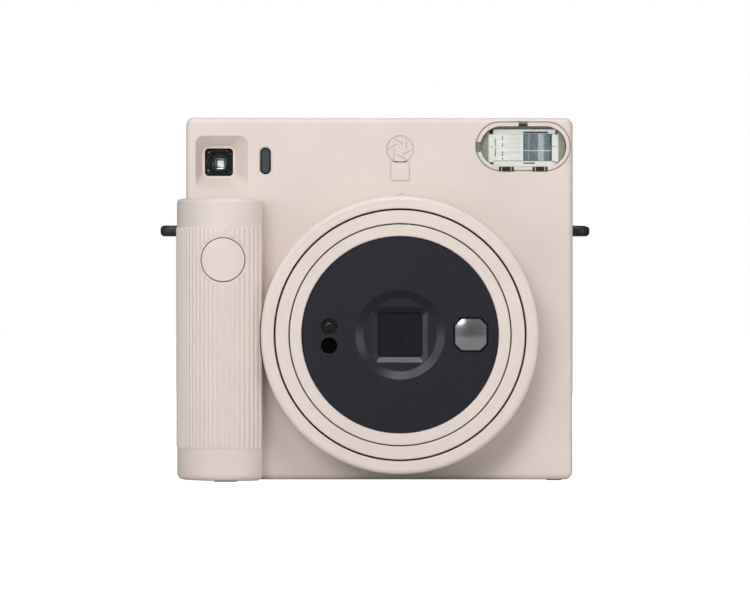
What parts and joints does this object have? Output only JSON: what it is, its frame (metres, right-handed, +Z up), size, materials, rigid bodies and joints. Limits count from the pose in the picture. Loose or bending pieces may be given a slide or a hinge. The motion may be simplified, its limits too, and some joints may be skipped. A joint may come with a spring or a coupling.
{
  "type": "instant camera",
  "caption": "Instant film camera with a ribbed side grip, a large rotating lens ring with a telescoping lens, a flash, an optical viewfinder and a top film exit.",
  "frame": {"origin": "on the surface the camera stands on, midway between the tips of its strap lugs and midway between the front of the lens ring and the back of the film door", "axes": "+X to the right seen from the front, -Y is the way the lens looks, +Z up"},
  "size_m": [0.1422, 0.0576, 0.1189],
  "materials": {
    "body_shell": "satin, finely textured",
    "ring_plastic": "satin",
    "black_plastic": "satin",
    "dark_plastic": "matt",
    "bezel_plastic": "matt, finely textured",
    "mirror": "polished",
    "sensor_lens": "gloss",
    "blade_metal": "matt black",
    "optic_glass": "clear",
    "clear_pane": "clear",
    "tinted_pane": "dark smoke",
    "amber_pane": "clear amber",
    "reflector": "bright",
    "capacitor_sleeve": "gloss",
    "board": "solder resist",
    "spring_steel": "bright",
    "screw_steel": "blackened",
    "frame_steel": "zinc plated",
    "roller_rubber": "matt",
    "gear_plastic": "natural acetal",
    "gear_brass": "machined",
    "dial_plastic": "matt white",
    "cell_sleeve": "gloss"
  },
  "bodies": {
    "camera_body": {"front_casing": "body_shell", "grip_cover": "body_shell", "rear_casing": "body_shell", "casing_screws": "screw_steel", "strap_lugs": "black_plastic", "film_cartridge": "dark_plastic", "film_chamber": "dark_plastic", "light_cone": "dark_plastic", "lens_base": "dark_plastic", "finder_window": "clear_pane", "finder_tube": "dark_plastic", "finder_lenses": "optic_glass", "eyepiece_frame": "dark_plastic", "metering_window": "tinted_pane", "flash_bezel": "body_shell", "flash_window": "clear_pane", "flash_reflector": "reflector", "flash_tube": "optic_glass", "flash_capacitor": "capacitor_sleeve", "circuit_board": "board", "button_bracket": "dark_plastic", "shutter_switch": "board", "roller_frame": "frame_steel", "motor": "frame_steel", "gear_plate": "frame_steel", "counter_window": "clear_pane", "batteries": "cell_sleeve", "battery_holder": "dark_plastic", "hinge_pins": "spring_steel"},
    "ring": {"lens_ring": "ring_plastic", "ring_retainer": "dark_plastic"},
    "middle_tube": {"middle_barrel": "ring_plastic"},
    "front_tube": {"front_barrel": "ring_plastic", "lens_bezel": "bezel_plastic", "selfie_mirror": "mirror", "light_sensor_lens": "sensor_lens", "barrier_frame": "dark_plastic", "lens_cell": "dark_plastic", "lens_elements": "optic_glass", "shutter_housing": "dark_plastic"},
    "left_blade": {"barrier_blade_left": "blade_metal"},
    "right_blade": {"barrier_blade_right": "blade_metal"},
    "upper_shutter": {"shutter_blade_upper": "blade_metal"},
    "lower_shutter": {"shutter_blade_lower": "blade_metal"},
    "button": {"shutter_button": "body_shell", "shutter_button_spring": "spring_steel"},
    "film_roller": {"drive_roller": "roller_rubber"},
    "back_roller": {"pinch_roller": "roller_rubber"},
    "gear_two": {"second_gear": "gear_plastic"},
    "gear_one": {"first_gear": "gear_plastic"},
    "pinion": {"motor_pinion": "gear_brass"},
    "claw": {"film_claw": "frame_steel"},
    "counter": {"counter_dial": "dial_plastic"},
    "hatch": {"battery_door": "body_shell"},
    "back_door": {"film_door": "body_shell", "film_window": "amber_pane", "pressure_springs": "spring_steel"},
    "door_latch": {"film_door_latch": "body_shell"}
  },
  "joints": [
    {"name": "lens_ring_turn", "type": "hinge", "parent": "camera_body", "child": "ring", "pos_m": [0.00812, 0, 0.04784], "axis": [0, -1, 0], "range_deg": [0, 60]},
    {"name": "middle_barrel_slide", "type": "slide", "parent": "camera_body", "child": "middle_tube", "axis": [0, -1, 0], "range_m": [0, 0.0081]},
    {"name": "front_barrel_slide", "type": "slide", "parent": "middle_tube", "child": "front_tube", "axis": [0, -1, 0], "range_m": [0, 0.0081]},
    {"name": "barrier_left_slide", "type": "slide", "parent": "front_tube", "child": "left_blade", "axis": [-1, 0, 0], "range_m": [0, 0.0077]},
    {"name": "barrier_right_slide", "type": "slide", "parent": "front_tube", "child": "right_blade", "axis": [1, 0, 0], "range_m": [0, 0.0077]},
    {"name": "shutter_upper_turn", "type": "hinge", "parent": "front_tube", "child": "upper_shutter", "pos_m": [-0.00088, -0.01645, 0.05184], "axis": [0, -1, 0], "range_deg": [0, 36], "stiffness_Nm_per_rad": 0.0002},
    {"name": "shutter_lower_turn", "type": "hinge", "parent": "front_tube", "child": "lower_shutter", "pos_m": [-0.00088, -0.01555, 0.04384], "axis": [0, -1, 0], "range_deg": [-36, 0]},
    {"name": "shutter_button_press", "type": "slide", "parent": "camera_body", "child": "button", "axis": [0, 1, 0], "range_m": [0, 0.0012], "stiffness_N_per_m": 400, "springref_m": -0.0006, "deforming": ["shutter_button_spring"]},
    {"name": "drive_roller_spin", "type": "hinge", "parent": "camera_body", "child": "film_roller", "pos_m": [0, 0.0055, 0.1055], "axis": [1, 0, 0], "continuous": true},
    {"name": "pinch_roller_spin", "type": "hinge", "parent": "camera_body", "child": "back_roller", "pos_m": [0, 0.0135, 0.1055], "axis": [1, 0, 0], "continuous": true},
    {"name": "second_gear_spin", "type": "hinge", "parent": "camera_body", "child": "gear_two", "pos_m": [0, 0.0055, 0.0985], "axis": [1, 0, 0], "continuous": true},
    {"name": "first_gear_spin", "type": "hinge", "parent": "camera_body", "child": "gear_one", "pos_m": [0, 0.0055, 0.087], "axis": [1, 0, 0], "continuous": true},
    {"name": "motor_pinion_spin", "type": "hinge", "parent": "camera_body", "child": "pinion", "pos_m": [0, 0.0055, 0.0745], "axis": [1, 0, 0], "continuous": true},
    {"name": "film_claw_slide", "type": "slide", "parent": "camera_body", "child": "claw", "axis": [0, 0, 1], "range_m": [0, 0.008]},
    {"name": "counter_turn", "type": "hinge", "parent": "camera_body", "child": "counter", "pos_m": [-0.05, 0.0238, 0.088], "axis": [0, 1, 0], "range_deg": [0, 300]},
    {"name": "battery_door_swing", "type": "hinge", "parent": "camera_body", "child": "hatch", "pos_m": [-0.0632, 0.022, 0.0335], "axis": [0, 0, -1], "range_deg": [0, 90]},
    {"name": "film_door_swing", "type": "hinge", "parent": "camera_body", "child": "back_door", "pos_m": [0.0585, 0.02585, 0.053], "axis": [0, 0, -1], "range_deg": [0, 95]},
    {"name": "door_latch_slide", "type": "slide", "parent": "back_door", "child": "door_latch", "axis": [1, 0, 0], "range_m": [0, 0.0025], "stiffness_N_per_m": 150, "springref_m": -0.001}
  ],
  "couplings": [
    {"joint": "middle_barrel_slide", "follows": "lens_ring_turn", "m_per_rad": 0.0076394},
    {"joint": "front_barrel_slide", "follows": "lens_ring_turn", "m_per_rad": 0.0076394},
    {"joint": "barrier_left_slide", "follows": "lens_ring_turn", "m_per_rad": 0.0072575},
    {"joint": "barrier_right_slide", "follows": "lens_ring_turn", "m_per_rad": 0.0072575},
    {"joint": "shutter_lower_turn", "follows": "shutter_upper_turn", "ratio": -1},
    {"joint": "first_gear_spin", "follows": "motor_pinion_spin", "ratio": -0.25},
    {"joint": "second_gear_spin", "follows": "motor_pinion_spin", "ratio": 0.069444},
    {"joint": "drive_roller_spin", "follows": "motor_pinion_spin", "ratio": -0.052083},
    {"joint": "pinch_roller_spin", "follows": "motor_pinion_spin", "ratio": 0.052083}
  ]
}
